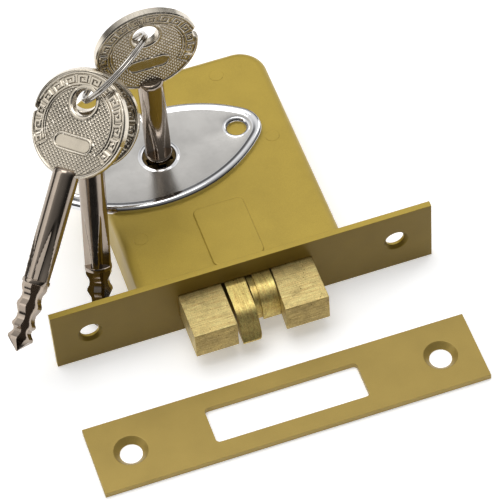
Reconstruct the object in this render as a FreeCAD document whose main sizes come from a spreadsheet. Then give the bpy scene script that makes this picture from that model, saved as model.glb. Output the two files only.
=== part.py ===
import FreeCAD, Part
import Sketcher
import math
import os
import re

# Mortise lock with cross-key cylinder: lock body, escutcheon, strike plate, three keys on a split ring.
# Frame: origin at the middle of the faceplate's front face, +X along the faceplate, +Y into the case,
# +Z towards the keyhole side.  Millimetres.

V = FreeCAD.Vector
doc = FreeCAD.newDocument("mortise_lock")

# --------------------------------------------------------------------------------------------------
# Driving dimensions
# --------------------------------------------------------------------------------------------------
DIMS = {
    "plate_len": 120.0, "plate_high": 24.0, "plate_thk": 2.0, "screw_pitch": 97.0,
    "face_hole_r": 2.9, "face_sink_r": 3.9, "face_slot_len": 42.4, "face_slot_high": 10.6,
    "slot_mid_x": 0.4, "slot_mid_z": -0.4,
    "strike_mid_y": -37.8, "strike_hole_r": 3.4, "strike_sink_r": 5.2,
    "strike_slot_len": 47.8, "strike_slot_wide": 12.6,
    "case_wide": 64.0, "case_deep": 80.0, "case_half_thk": 10.5, "sheet_thk": 1.2,
    "corner_rad": 9.0, "fold_rad": 3.2,
    "lock_x": -11.0, "lock_y": 48.0,
    "cyl_rad": 12.0, "cyl_low": -2.3, "cyl_top": 9.1, "sleeve_thk": 0.6,
    "plug_rad": 6.2, "plug_gap": 0.05, "plug_top": 10.4, "key_way": 2.6, "key_way_rad": 4.1,
    "spigot_rad": 5.4, "cam_rad": 13.6, "cam_thk": 2.4, "drive_rad": 11.3, "drive_pin_rad": 2.0,
    "pin_rad": 0.9, "pin_hole_rad": 1.0,
    "bolt_low": -8.4, "bolt_thk": 3.0, "head_high": 10.0, "head_out": 16.0, "head_back": 17.0,
    "post_rad": 2.2, "bow_rad": 15.8, "bow_thk": 2.8, "key_hole_rad": 4.0, "key_hole_off": 6.7,
    "shaft_rad": 4.0, "step_at": 48.0, "key_tip_at": 68.4,
    "plate_tip_rad": 8.5, "shield_half_len": 34.0, "shield_half_wide": 18.7, "shield_thk": 2.2,
    "shield_hole_at": 26.0,
}
sheet = doc.addObject("Spreadsheet::Sheet", "Params")
for row, (alias, value) in enumerate(DIMS.items(), start=1):
    sheet.set("A%d" % row, alias)
    sheet.set("B%d" % row, repr(value))
    sheet.setAlias("B%d" % row, alias)
doc.recompute()
P = DIMS


def par(text):
    """Turn bare dimension names in an expression into references to the sheet."""
    return re.sub(r"[A-Za-z_]\w*", lambda m: "Params." + m.group(0) if m.group(0) in P else m.group(0), text)


def bind(obj, prop, value):
    if isinstance(value, str):
        obj.setExpression(prop, par(value))
    else:
        obj.setExpression(prop, repr(float(value)))


# --------------------------------------------------------------------------------------------------
# Small builders: primitives and booleans with bound sizes
# --------------------------------------------------------------------------------------------------
count = [0]


def new(kind, label=None):
    count[0] += 1
    obj = doc.addObject(kind, "s%03d" % count[0])
    obj.Label = label or "s%03d" % count[0]
    return obj


def box(x0, x1, y0, y1, z0, z1, label=None):
    obj = new("Part::Box", label)
    for size, lo, hi, axis in (("Length", x0, x1, "x"), ("Width", y0, y1, "y"), ("Height", z0, z1, "z")):
        bind(obj, size, "(%s)-(%s)" % (hi, lo))
        bind(obj, "Placement.Base." + axis, "(%s)" % lo)
    return obj


def cyl(x, y, z0, z1, r, label=None):
    obj = new("Part::Cylinder", label)
    bind(obj, "Radius", "(%s)" % r)
    bind(obj, "Height", "(%s)-(%s)" % (z1, z0))
    for axis, value in (("x", x), ("y", y), ("z", z0)):
        bind(obj, "Placement.Base." + axis, "(%s)" % value)
    return obj


def cyl_y(x, z, y0, y1, r, label=None):
    obj = new("Part::Cylinder", label)
    bind(obj, "Radius", "(%s)" % r)
    bind(obj, "Height", "(%s)-(%s)" % (y1, y0))
    obj.Placement = FreeCAD.Placement(V(0, 0, 0), FreeCAD.Rotation(V(1, 0, 0), -90))
    for axis, value in (("x", x), ("y", y0), ("z", z)):
        bind(obj, "Placement.Base." + axis, "(%s)" % value)
    return obj


def fuse(objs, label=None):
    obj = new("Part::MultiFuse", label)
    obj.Shapes = list(objs)
    obj.Refine = True
    return obj


def cut(base, tools, label=None):
    obj = new("Part::Cut", label)
    obj.Base = base
    obj.Tool = tools[0] if len(tools) == 1 else fuse(tools)
    obj.Refine = True
    return obj


def fillet(base, radius, chosen, label=None):
    """Round the edges of base whose shape passes the test chosen(edge)."""
    doc.recompute()
    edges = [(i + 1, radius, radius) for i, e in enumerate(base.Shape.Edges) if chosen(e)]
    if not edges:
        raise RuntimeError("no edge to round on " + base.Label)
    obj = new("Part::Fillet", label)
    obj.Base = base
    obj.Edges = edges
    doc.recompute()
    return obj


def feature(shape, label):
    obj = doc.addObject("Part::Feature", label)
    obj.Label = label
    obj.Shape = shape
    return obj


def is_vertical(edge):
    return len(edge.Vertexes) == 2 and abs(edge.BoundBox.ZLength) > 0.01 \
        and edge.BoundBox.XLength < 1e-6 and edge.BoundBox.YLength < 1e-6


def plane_of(body, role):
    return next(f for f in body.Origin.OriginFeatures if f.Role == role)


def sketch_on(body, name, role, lift=0.0):
    sk = body.newObject("Sketcher::SketchObject", name)
    sk.AttachmentSupport = [(plane_of(body, role), "")]
    sk.MapMode = "FlatFace"
    sk.AttachmentOffset = FreeCAD.Placement(V(0, 0, lift), FreeCAD.Rotation())
    return sk


def rect_in(sk, wide, high, mid_x="0", mid_y="0"):
    """A rectangle with bound width, height and middle."""
    first = sk.GeometryCount
    pts = [V(-5, -4, 0), V(5, -4, 0), V(5, 4, 0), V(-5, 4, 0)]
    for i in range(4):
        sk.addGeometry(Part.LineSegment(pts[i], pts[(i + 1) % 4]), False)
    for i in range(4):
        sk.addConstraint(Sketcher.Constraint("Coincident", first + i, 2, first + (i + 1) % 4, 1))
    for i, way in enumerate(("Horizontal", "Vertical", "Horizontal", "Vertical")):
        sk.addConstraint(Sketcher.Constraint(way, first + i))
    sizes = (("DistanceX", (first, 1, first, 2), wide),
             ("DistanceY", (first + 1, 1, first + 1, 2), high),
             ("DistanceX", (-1, 1, first + 2, 1), "(%s)+(%s)/2" % (mid_x, wide)),
             ("DistanceY", (-1, 1, first + 2, 1), "(%s)+(%s)/2" % (mid_y, high)))
    for kind, refs, text in sizes:
        num = sk.addConstraint(Sketcher.Constraint(kind, *refs, 5.0))
        sk.setExpression("Constraints[%d]" % num, par(text))


def circle_in(sk, radius, mid_x, mid_y="0"):
    first = sk.GeometryCount
    at_x = 10.0 if not mid_x.startswith("-") else -10.0
    sk.addGeometry(Part.Circle(V(at_x, 1, 0), V(0, 0, 1), 2.0), False)
    num = sk.addConstraint(Sketcher.Constraint("Radius", first, 2.0))
    sk.setExpression("Constraints[%d]" % num, par(radius))
    num = sk.addConstraint(Sketcher.Constraint("DistanceX", -1, 1, first, 3, at_x))
    sk.setExpression("Constraints[%d]" % num, par(mid_x))
    if mid_y == "0":
        sk.addConstraint(Sketcher.Constraint("PointOnObject", first, 3, -1))
    else:
        num = sk.addConstraint(Sketcher.Constraint("DistanceY", -1, 1, first, 3, 1.0))
        sk.setExpression("Constraints[%d]" % num, par(mid_y))


def pad(body, sk, length, name):
    obj = body.newObject("PartDesign::Pad", name)
    obj.Profile = sk
    obj.setExpression("Length", par(length))
    return obj


def pocket(body, sk, length, name, reverse=False):
    before = body.Shape.Volume
    obj = body.newObject("PartDesign::Pocket", name)
    obj.Profile = sk
    obj.Reversed = reverse
    obj.setExpression("Length", par(length))
    doc.recompute()
    if body.Shape.Volume > before - 1e-3:
        raise RuntimeError(name + " cuts nothing")
    return obj


def punched_plate(label, hole_r, sink_r, slot_len, slot_wide, mid_x, mid_y, slot_round):
    """A flat plate 120 x 24 in its own XY plane, thickness up, sinks on the top face."""
    body = doc.addObject("PartDesign::Body", label + "_body")
    outline = sketch_on(body, label + "_outline", "XY_Plane")
    rect_in(outline, "plate_len", "plate_high")
    pad(body, outline, "plate_thk", label + "_pad")
    doc.recompute()
    slot = sketch_on(body, label + "_slot", "XY_Plane")
    rect_in(slot, slot_len, slot_wide, mid_x, mid_y)
    pocket(body, slot, "plate_thk", label + "_slot_cut", reverse=True)
    holes = sketch_on(body, label + "_holes", "XY_Plane")
    circle_in(holes, hole_r, "screw_pitch/2")
    circle_in(holes, hole_r, "-screw_pitch/2")
    pocket(body, holes, "plate_thk", label + "_hole_cut", reverse=True)
    edges = ["Edge%d" % (i + 1) for i, e in enumerate(body.Shape.Edges)
             if is_vertical(e) and abs(e.BoundBox.XMin) < P["plate_len"] / 2 - 1]
    if slot_round > 0:
        last = body.Tip
        rounded = body.newObject("PartDesign::Fillet", label + "_slot_corners")
        rounded.Base = (last, edges)
        rounded.Radius = slot_round
        doc.recompute()
    edges = []
    for i, e in enumerate(body.Shape.Edges):
        round_edge = isinstance(e.Curve, Part.Circle) and abs(e.Curve.Radius - P[hole_r]) < 1e-6
        if round_edge and abs(e.BoundBox.ZMin - P["plate_thk"]) < 1e-6:
            edges.append("Edge%d" % (i + 1))
    last = body.Tip
    sink = body.newObject("PartDesign::Chamfer", label + "_sinks")
    sink.Base = (last, edges)
    sink.setExpression("Size", par("%s-%s" % (sink_r, hole_r)))
    doc.recompute()
    return body


# --------------------------------------------------------------------------------------------------
# Faceplate, case and cover
# --------------------------------------------------------------------------------------------------
nodes = {}


def node(obj, label):
    obj.Label = label
    nodes[label] = obj
    return obj


faceplate = punched_plate("faceplate", "face_hole_r", "face_sink_r", "face_slot_len", "face_slot_high",
                          "slot_mid_x", "slot_mid_z", 0)
# plate's own +Z (sinks) looks to -Y, own Y to +Z
faceplate.Placement = FreeCAD.Placement(V(0, P["plate_thk"], 0), FreeCAD.Rotation(V(1, 0, 0), 90))
node(faceplate, "faceplate")

strike = punched_plate("strike_plate", "strike_hole_r", "strike_sink_r", "strike_slot_len",
                       "strike_slot_wide", "0", "0", 1.2)
strike.Placement = FreeCAD.Placement(V(0, P["strike_mid_y"], -P["plate_high"] / 2), FreeCAD.Rotation())
node(strike, "strike_plate")

half = "case_wide/2"
y_front = "plate_thk"
y_rear = "plate_thk+case_deep"


def rear_corner(edge):
    return is_vertical(edge) and edge.BoundBox.YMin > P["case_deep"] * 0.8


outer = box("-" + half, half, y_front, y_rear, "-case_half_thk", "case_half_thk")
outer = fillet(outer, P["corner_rad"], rear_corner)


def top_rim(edge):
    b = edge.BoundBox
    front = b.YMax < P["plate_thk"] + 0.01
    return b.ZMin > P["case_half_thk"] - 0.01 and not front


outer = fillet(outer, P["fold_rad"], top_rim)
inner = box("-%s+sheet_thk" % half, half + "-sheet_thk", y_front + "+sheet_thk", y_rear + "-sheet_thk",
            "-case_half_thk-5", "case_half_thk-sheet_thk")
inner = fillet(inner, P["corner_rad"] - P["sheet_thk"], rear_corner)
inner = fillet(inner, P["fold_rad"] - P["sheet_thk"],
               lambda e: e.BoundBox.ZMin > P["case_half_thk"] - P["sheet_thk"] - 0.01
               and e.BoundBox.YMax > P["plate_thk"] + P["sheet_thk"] + 0.01)
front_gate = box(-23.5, 24.5, 0, 4, -9.3, 5.4)
key_gate = cyl("lock_x", "lock_y", 5, 15, "plug_rad+0.4")
shell = cut(outer, [inner, front_gate, key_gate])
boss = box(-8, 8, 2.2, 25, "case_half_thk-0.6", "case_half_thk+0.6")
boss = fillet(boss, 2.0, is_vertical)
boss = fillet(boss, 0.45, lambda e: e.BoundBox.ZMin > P["case_half_thk"] + 0.59)
POSTS = [(15.9, 74.0), (-25.7, 20.3), (24.4, 44.5)]
post_holes = [cyl(x, y, -15, 15, "post_rad") for x, y in POSTS]
shell = cut(fuse([shell, boss]), post_holes)
node(shell, "case_shell")

cover = box("-%s+sheet_thk+0.1" % half, half + "-sheet_thk-0.1", y_front + "+sheet_thk+0.1",
            y_rear + "-sheet_thk-0.1", "-case_half_thk", "-case_half_thk+sheet_thk")
cover = fillet(cover, P["corner_rad"] - P["sheet_thk"] - 0.1, rear_corner)
cover = cut(cover, [cyl(x, y, -15, 15, "post_rad") for x, y in POSTS])
node(cover, "case_cover")

posts = []
for x, y in POSTS:
    stem = cyl(x, y, "-case_half_thk", "case_half_thk", "post_rad")
    collar = cut(cyl(x, y, "-case_half_thk+sheet_thk", "case_half_thk-sheet_thk", "post_rad+0.9"),
                 [cyl(x, y, -15, 15, "post_rad-0.3")])
    posts.append(fuse([stem, collar]))
doc.recompute()
node(feature(Part.makeCompound([p.Shape for p in posts]), "case_posts"), "case_posts")

rivets = [cyl_y(x, 0, 1.0, 3.9, 1.6) for x in (-28.0, 28.0)]
rivet_heads = [cyl_y(x, 0, 3.2, 4.2, 2.4) for x in (-28.0, 28.0)]
doc.recompute()
pairs = [a.Shape.fuse(b.Shape).removeSplitter() for a, b in zip(rivets, rivet_heads)]
node(feature(Part.makeCompound(pairs), "faceplate_rivets"), "faceplate_rivets")
faceplate_pits = [cyl_y(x, 0, 1.0, 3.9, 1.6) for x in (-28.0, 28.0)]
faceplate.Label = "faceplate_blank"
node(cut(faceplate, faceplate_pits), "faceplate")
wall_pits = [cyl_y(x, 0, 1.0, 3.9, 1.6) for x in (-28.0, 28.0)]
shell.Label = "case_blank"
node(cut(shell, wall_pits), "case_shell")

# --------------------------------------------------------------------------------------------------
# Cylinder: body, sleeve, plug, cam, pins
# --------------------------------------------------------------------------------------------------
PIN_LEVELS = (0.4, 3.6, 6.8)
PIN_SIDES = (0, 90, 180, 270)


def radial(x0, x1, r, z, turn):
    """A rod lying across the cylinder axis, from radius x0 to x1."""
    rod = Part.makeCylinder(r, x1 - x0, V(x0, 0, z), V(1, 0, 0))
    rod.rotate(V(0, 0, 0), V(0, 0, 1), turn)
    rod.translate(V(P["lock_x"], P["lock_y"], 0))
    return rod


def pin_set(x0, x1, r):
    return [radial(x0, x1, r, z, turn) for z in PIN_LEVELS for turn in PIN_SIDES]


chambers = feature(Part.makeCompound(pin_set(3.0, 20.0, P["pin_hole_rad"])), "pin_chambers")
barrel = cut(cyl("lock_x", "lock_y", "cyl_low", "cyl_top", "cyl_rad"),
             [cyl("lock_x", "lock_y", "cyl_low-1", "cyl_top+1", "plug_rad+plug_gap"), chambers])
node(barrel, "cylinder_body")
sleeve = cut(cyl("lock_x", "lock_y", "cyl_low", "cyl_top", "cyl_rad+sleeve_thk"),
             [cyl("lock_x", "lock_y", "cyl_low-1", "cyl_top+1", "cyl_rad")])
node(sleeve, "cylinder_sleeve")


def cross(half_wide, reach, z0, z1):
    arms = [box("lock_x-(%s)" % reach, "lock_x+(%s)" % reach, "lock_y-(%s)" % half_wide,
                "lock_y+(%s)" % half_wide, z0, z1),
            box("lock_x-(%s)" % half_wide, "lock_x+(%s)" % half_wide, "lock_y-(%s)" % reach,
                "lock_y+(%s)" % reach, z0, z1)]
    return fuse(arms)


plug_solid = fuse([cyl("lock_x", "lock_y", "cyl_low", "plug_top", "plug_rad"),
                   cyl("lock_x", "lock_y", "cyl_low-cam_thk-0.2", "cyl_low", "spigot_rad")])
chambers2 = feature(Part.makeCompound(pin_set(2.0, 20.0, P["pin_hole_rad"])), "plug_chambers")
plug = cut(plug_solid, [cross("key_way/2", "key_way_rad", -12, 12), chambers2])
node(plug, "cylinder_plug")

cam_low = "cyl_low-cam_thk-0.2"
cam = cut(cyl("lock_x", "lock_y", cam_low, cam_low + "+cam_thk", "cam_rad"),
          [cyl("lock_x", "lock_y", -12, 12, "spigot_rad")])
turn0 = math.radians(-135.0)
pin_x = P["lock_x"] + P["drive_rad"] * math.cos(turn0)
pin_y = P["lock_y"] + P["drive_rad"] * math.sin(turn0)
# drive pin starts on the front left of the axis and moves clockwise to the rear left
pin_hole = cyl(pin_x, pin_y, -12, 12, "drive_pin_rad-0.4")
node(cut(cam, [pin_hole]), "cam_wheel")
drive = fuse([cyl(pin_x, pin_y, cam_low, cam_low + "+cam_thk", "drive_pin_rad-0.4"),
              cyl(pin_x, pin_y, "bolt_low+0.2", cam_low, "drive_pin_rad")])
node(drive, "drive_pin")

node(feature(Part.makeCompound(pin_set(4.1, 6.05, P["pin_rad"])), "key_pins"), "key_pins")
node(feature(Part.makeCompound(pin_set(6.45, 8.2, P["pin_rad"])), "driver_pins"), "driver_pins")


def coil(radius, wire, length, turns):
    """A compression spring along +X from the origin."""
    pitch = (length - 2 * wire) / turns
    helix = Part.makeHelix(pitch, length - 2 * wire, radius)
    ring = Part.Wire([Part.Circle(V(radius, 0, 0), V(0, 1, 0), wire).toShape()])
    solid = Part.Wire(helix.Edges).makePipeShell([ring], True, True)
    solid.translate(V(0, 0, wire))
    solid.rotate(V(0, 0, 0), V(0, 1, 0), 90)
    return solid


small = coil(0.66, 0.16, 3.5, 4)
springs = []
for z in PIN_LEVELS:
    for turn in PIN_SIDES:
        one = small.copy()
        one.translate(V(8.35, 0, z))
        one.rotate(V(0, 0, 0), V(0, 0, 1), turn)
        one.translate(V(P["lock_x"], P["lock_y"], 0))
        springs.append(one)
node(feature(Part.makeCompound(springs), "pin_springs"), "pin_springs")

# two screws hold the cylinder to the case top, one bracket under it
bracket = cut(box("lock_x-18.3", "lock_x+18.3", "lock_y-3.5", "lock_y+3.5", "cyl_top-1.4", "cyl_top"),
              [cyl("lock_x", "lock_y", 0, 12, "cyl_rad+sleeve_thk")])
node(bracket, "cylinder_bracket")
screws = []
doc.recompute()
for side in (-1, 1):
    at = V(P["lock_x"] + side * 16.2, P["lock_y"], 0)
    head = Part.makeCylinder(2.1, 1.6, at + V(0, 0, P["cyl_top"] - 3.0))
    stem = Part.makeCylinder(1.2, 1.4, at + V(0, 0, P["cyl_top"] - 1.4))
    groove = Part.makeBox(4.6, 0.6, 0.7, at + V(-2.3, -0.3, P["cyl_top"] - 3.05))
    screws.append(head.fuse(stem).cut(groove).removeSplitter())
node(feature(Part.makeCompound(screws), "bracket_screws"), "bracket_screws")
screw_pits = feature(Part.makeCompound([Part.makeCylinder(1.2, 4, V(P["lock_x"] + s * 16.2, P["lock_y"], 6))
                                        for s in (-1, 1)]), "bracket_holes")
bracket.Label = "bracket_blank"
node(cut(bracket, [screw_pits]), "cylinder_bracket")

# --------------------------------------------------------------------------------------------------
# Bolt: carriage plate, two square heads, two sprung tongues
# --------------------------------------------------------------------------------------------------
plate_top = "bolt_low+bolt_thk"
carriage = fuse([box(-20.7, 21.5, 3.6, 26, "bolt_low", plate_top),
                 box(-27.5, -16.8, 24.5, 62, "bolt_low", plate_top),
                 box(6, 14, 25, 50, "bolt_low", plate_top),
                 box(-6.4, 8.0, 17.2, 18.8, plate_top, plate_top + "+head_high-0.6")])
talon = box(-25.2, -16, pin_y - 2.4, pin_y + 2.4, -12, 0)
guide_slot = box(8.3, 11.7, 28, 48, -12, 0)
rivet_at = [(-14.0, 8.0), (-14.0, 14.0), (15.4, 8.0), (15.4, 14.0)]
carriage = cut(carriage, [talon, guide_slot] + [cyl(x, y, -12, -5, 1.5) for x, y in rivet_at])
node(carriage, "bolt_carriage")
bolt_rivets = []
doc.recompute()
for x, y in rivet_at:
    bolt_rivets.append(Part.makeCylinder(1.5, 7.4, V(x, y, P["bolt_low"])))
node(feature(Part.makeCompound(bolt_rivets), "bolt_rivets"), "bolt_rivets")

head_low = P["bolt_low"] + P["bolt_thk"]
head_top = head_low + P["head_high"]


def prism(points, z0, z1):
    pts = [V(x, y, z0) for x, y in points]
    return Part.Face(Part.makePolygon(pts + pts[:1])).extrude(V(0, 0, z1 - z0))


def rivet_pits(xs):
    return [Part.makeCylinder(1.5, 7.4, V(x, y, P["bolt_low"])) for x, y in rivet_at if x in xs]


out = P["head_out"]
back = P["head_back"]
blank_a = box(-20.7, -7.3, "-head_out", "head_back", plate_top, plate_top + "+head_high")
head_a = fillet(blank_a, 0.35, lambda e: abs(e.BoundBox.YMax + out) < 0.01)
pits_a = feature(Part.makeCompound(rivet_pits((-14.0,))), "pits_a")
node(cut(head_a, [pits_a]), "bolt_head_left")
shape_d = prism([(8.5, back), (8.5, -2.0), (7.7, -out), (21.5, -out), (21.5, back)], head_low, head_top)
blank_d = feature(shape_d, "head_d_blank")
head_d = fillet(blank_d, 0.35, lambda e: abs(e.BoundBox.YMax + out) < 0.01)
pits_d = feature(Part.makeCompound(rivet_pits((15.4,))), "pits_d")
node(cut(head_d, [pits_d]), "bolt_head_right")


def tongue(x0, x1, nose, name, rounded_x, fin_to=None):
    """A sprung tongue: a bull nose that falls away from the keyhole side to the far side."""
    def profile(x, width, drop, short):
        top = head_top - drop
        foot = head_low + 0.1
        marks = [(nose[0][0], top)] + [(y + short, z - drop) for y, z in nose[1:-1]]
        marks.append((nose[-1][0] + short, max(nose[-1][1] - drop, foot)))
        spline = Part.BSplineCurve()
        spline.interpolate([V(x, y, z) for y, z in marks])
        a, b = V(x, 9.0, foot), V(x, 9.0, top)
        c, d = V(x, marks[0][0], top), V(x, marks[-1][0], marks[-1][1])
        e = V(x, marks[-1][0], foot)
        edges = [Part.LineSegment(a, b).toShape(), Part.LineSegment(b, c).toShape(), spline.toShape()]
        if (d - e).Length > 0.01:
            edges.append(Part.LineSegment(d, e).toShape())
        edges.append(Part.LineSegment(e, a).toShape())
        return Part.Face(Part.Wire(edges)).extrude(V(width, 0, 0))

    solid = profile(x0, x1 - x0, 0.0, 0.0)
    left = x0
    if fin_to is not None:
        # a lower step along one side, a little shorter than the nose
        solid = solid.fuse(profile(fin_to, x0 - fin_to + 0.01, 1.1, 0.9))
        left = fin_to
    keep = Part.makeBox(x1 - left, 60, 40, V(left, nose[-1][0] - 0.5, -20))
    # the outer front corner is rounded in plan
    tall = [ed for ed in keep.Edges if is_vertical(ed) and ed.BoundBox.YMin < nose[-1][0]
            and abs(ed.BoundBox.XMin - rounded_x) < 0.01]
    keep = keep.makeFillet(2.2, tall)
    solid = solid.common(keep)
    pocket_hole = Part.makeCylinder(2.0, 2.0, V((x0 + x1) / 2, 7.0, (head_low + head_top) / 2), V(0, 1, 0))
    return feature(solid.cut(pocket_hole).removeSplitter(), name)


nose_b = [(-1.2, head_top), (-5.7, 3.9), (-11.2, 2.6), (-13.8, -0.6), (-16.6, -4.6)]
nose_c = [(-3.0, head_top), (-6.0, 4.1), (-8.6, 2.2), (-9.8, -0.6), (-9.9, -4.6)]
node(tongue(-6.2, 0.1, nose_b, "latch_tongue", 0.1), "latch_tongue")
node(tongue(2.4, 8.0, nose_c, "guard_tongue", 0.6, 0.6), "guard_tongue")
for name, x in (("latch_spring", -3.05), ("guard_spring", 5.2)):
    spring = coil(1.35, 0.28, 10.0, 7)
    spring.rotate(V(0, 0, 0), V(0, 0, 1), 90)
    spring.translate(V(x, 7.2, (head_low + head_top) / 2))
    node(feature(spring, name), name)

guide = fuse([cyl(10, 46.2, "-case_half_thk+sheet_thk", plate_top + "+0.3", 1.6),
              cyl(10, 46.2, plate_top + "+0.3", plate_top + "+1.2", 2.8)])
node(guide, "guide_post")
leaf = fuse([box(23.2, 23.6, 6, 36, -8.2, -5.6), box(23.6, 25.4, 33, 36, -8.2, -5.6),
             cyl(23.4, 14, -8.2, -5.6, 1.2)])
node(leaf, "detent_leaf")
leaf_stud = cyl(24.5, 34.5, "-case_half_thk+sheet_thk", -8.2, 0.9)
node(leaf_stud, "leaf_stud")
node(box(-30.6, -27.7, 30, 70, "-case_half_thk+sheet_thk", -5.6), "carriage_guide")

# --------------------------------------------------------------------------------------------------
# Escutcheon
# --------------------------------------------------------------------------------------------------
def lens(a, b, r, z):
    """Pointed oval with rounded ends: two long arcs and two tip arcs."""
    big = (a * a - 2 * a * r + b * b) / (2 * (b - r))
    y_mid = b - big
    x_tip = a - r
    ang = math.atan2(-y_mid, x_tip)
    arcs = []

    def at(cx, cy, rad, t):
        return V(cx + rad * math.cos(t), cy + rad * math.sin(t), z)

    arcs.append(Part.Arc(at(0, y_mid, big, ang), at(0, y_mid, big, math.pi / 2),
                         at(0, y_mid, big, math.pi - ang)).toShape())
    arcs.append(Part.Arc(at(-x_tip, 0, r, math.pi - ang), at(-x_tip, 0, r, math.pi),
                         at(-x_tip, 0, r, math.pi + ang)).toShape())
    arcs.append(Part.Arc(at(0, -y_mid, big, math.pi + ang), at(0, -y_mid, big, 1.5 * math.pi),
                         at(0, -y_mid, big, -ang)).toShape())
    arcs.append(Part.Arc(at(x_tip, 0, r, -ang), at(x_tip, 0, r, 0.0), at(x_tip, 0, r, ang)).toShape())
    return Part.Wire(arcs)


thk = P["shield_thk"]
a, b, r = P["shield_half_len"], P["shield_half_wide"], P["plate_tip_rad"]
shield = Part.Face(lens(a, b, r, 0)).extrude(V(0, 0, thk))
rim = [e for e in shield.Edges if e.BoundBox.ZMin > thk - 0.01]
shield = shield.makeFillet(1.3, rim)
dish = Part.Face(lens(a - 2.6, b - 2.6, r - 2.6, thk - 0.5)).extrude(V(0, 0, 2))
shield = shield.cut(dish)
hole_at = P["shield_hole_at"]
for side in (-1, 1):
    at = V(side * hole_at, 0, 0)
    shield = shield.cut(Part.makeCylinder(2.6, 5, at))
    shield = shield.cut(Part.makeCone(2.6, 4.4, 1.0, at + V(0, 0, thk - 1.5)))
shield = shield.cut(Part.makeCylinder(5.0, 5, V(0, 0, -1)))
shield = shield.cut(Part.makeCone(5.0, 5.7, 0.6, V(0, 0, thk - 1.1)))
shield = shield.removeSplitter()
obj = feature(shield, "escutcheon")
obj.Placement = FreeCAD.Placement(V(P["lock_x"], P["lock_y"], P["case_half_thk"]),
                                  FreeCAD.Rotation(V(0, 0, 1), 5.65))
node(obj, "escutcheon")

# --------------------------------------------------------------------------------------------------
# Keys.  Own frame: origin at the bow's middle, +X towards the tip, +Y across, +Z the bow's normal.
# --------------------------------------------------------------------------------------------------
NECK_START = 13.2
NECK_END = 19.0


def key_bow():
    t = P["bow_thk"]
    rad = P["bow_rad"]
    disc = Part.makeCylinder(rad, t, V(0, 0, -t / 2))
    disc = disc.makeFillet(0.5, [e for e in disc.Edges if isinstance(e.Curve, Part.Circle)])
    for z, way in ((t / 2 - 0.35, 1), (-t / 2 + 0.35, -1)):
        field = Part.makeCylinder(11.2, 2, V(0, 0, z), V(0, 0, way))
        keep = Part.makeCylinder(5.3, 4, V(-P["key_hole_off"], 0, -2))
        badge = Part.makeBox(4.6, 12.0, 4, V(4.0, -6.0, -2))
        disc = disc.cut(field.cut(keep).cut(badge))
    disc = disc.cut(Part.makeCylinder(P["key_hole_rad"], 8, V(-P["key_hole_off"], 0, -4)))
    disc = disc.cut(Part.makeCylinder(1.9, 8, V(-2.6, -rad - 0.4, -4)))
    # a tab that the slotted end of the shaft is pressed over
    tab = Part.makeBox(NECK_END - rad + 1.0, 7.0, t, V(rad - 1.0, -3.5, -t / 2))
    return disc.fuse(tab).removeSplitter()


def key_shaft():
    r0 = P["shaft_rad"]
    step = P["step_at"]
    tip = P["key_tip_at"]
    t = P["bow_thk"]
    shaft = Part.makeCylinder(r0, step - NECK_START, V(NECK_START, 0, 0), V(1, 0, 0))
    shaft = shaft.makeChamfer(0.6, [e for e in shaft.Edges if e.BoundBox.XMax < NECK_START + 0.01])
    shaft = shaft.cut(Part.makeBox(NECK_END - NECK_START + 0.1, 9, t, V(NECK_START, -4.5, -t / 2)))
    collar = Part.makeCylinder(r0 + 0.15, 0.9, V(step - 1.0, 0, 0), V(1, 0, 0))
    # four long flutes run out towards the bow
    flutes = []
    for turn in (45, 135, 225, 315):
        g = Part.makeCone(0.2, 1.9, step - 1.0 - 31.0, V(31.0, 0, 0), V(1, 0, 0))
        g.translate(V(0, r0 + 0.75, 0))
        g.rotate(V(0, 0, 0), V(1, 0, 0), turn)
        flutes.append(g)
    shaft = shaft.cut(Part.makeCompound(flutes))
    arm = 1.1
    reach = 3.75
    profile = [(step - 0.2, 0.0), (step - 0.2, reach), (step + 2.0, reach), (step + 3.4, reach - 0.75),
               (step + 5.2, reach - 0.75), (step + 6.6, reach), (step + 8.0, reach - 0.4),
               (step + 9.4, reach - 1.1), (step + 11.4, reach - 1.1), (step + 12.8, reach - 0.2),
               (step + 14.0, reach - 1.2), (step + 15.4, reach - 1.2), (step + 16.6, reach),
               (step + 17.3, reach), (tip, 0.35), (tip, 0.0)]
    pts = [V(x, y, 0) for x, y in profile]
    turned = Part.Face(Part.makePolygon(pts + pts[:1])).revolve(V(0, 0, 0), V(1, 0, 0), 360)
    arms = Part.makeBox(30, 2 * arm, 12, V(step - 0.2, -arm, -6)).fuse(
        Part.makeBox(30, 12, 2 * arm, V(step - 0.2, -6, -arm)))
    blade = turned.common(arms.fuse(Part.makeCylinder(1.7, 30, V(step - 0.2, 0, 0), V(1, 0, 0))))
    return shaft.fuse([collar, blade]).removeSplitter()


def unit(v):
    w = V(*v)
    w.normalize()
    return w


def key_place(mid, along, across):
    a = unit(along)
    b = V(*across)
    b = unit(tuple(b - a * b.dot(a)))
    c = a.cross(b)
    m = FreeCAD.Matrix(a.x, b.x, c.x, mid[0], a.y, b.y, c.y, mid[1], a.z, b.z, c.z, mid[2], 0, 0, 0, 1)
    return FreeCAD.Placement(m)


KEYS = {
    "lock_key": key_place((P["lock_x"], P["lock_y"], 61.6), (0, 0, -1), (-1, 0, 0)),
    "front_key": key_place((-36.736, 31.604, 56.063), (-0.5206, -0.59, -0.6172), (0.6534, -0.7406, 0.1569)),
    "rear_key": key_place((-32.982, 39.712, 48.263), (-0.1514, -0.4664, -0.8715), (0.9069, -0.4163, 0.0652)),
}
bow_shape = key_bow()
shaft_shape = key_shaft()
for name, place in KEYS.items():
    for part_name, shape in (("bow", bow_shape), ("shaft", shaft_shape)):
        obj = feature(shape.copy(), name + "_" + part_name)
        obj.Placement = place
        node(obj, name + "_" + part_name)

# --------------------------------------------------------------------------------------------------
# Split ring through the three bow holes
# --------------------------------------------------------------------------------------------------
def hole_point(name, out_by):
    return KEYS[name].multVec(V(-P["key_hole_off"] - out_by, 0, 0))


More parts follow.
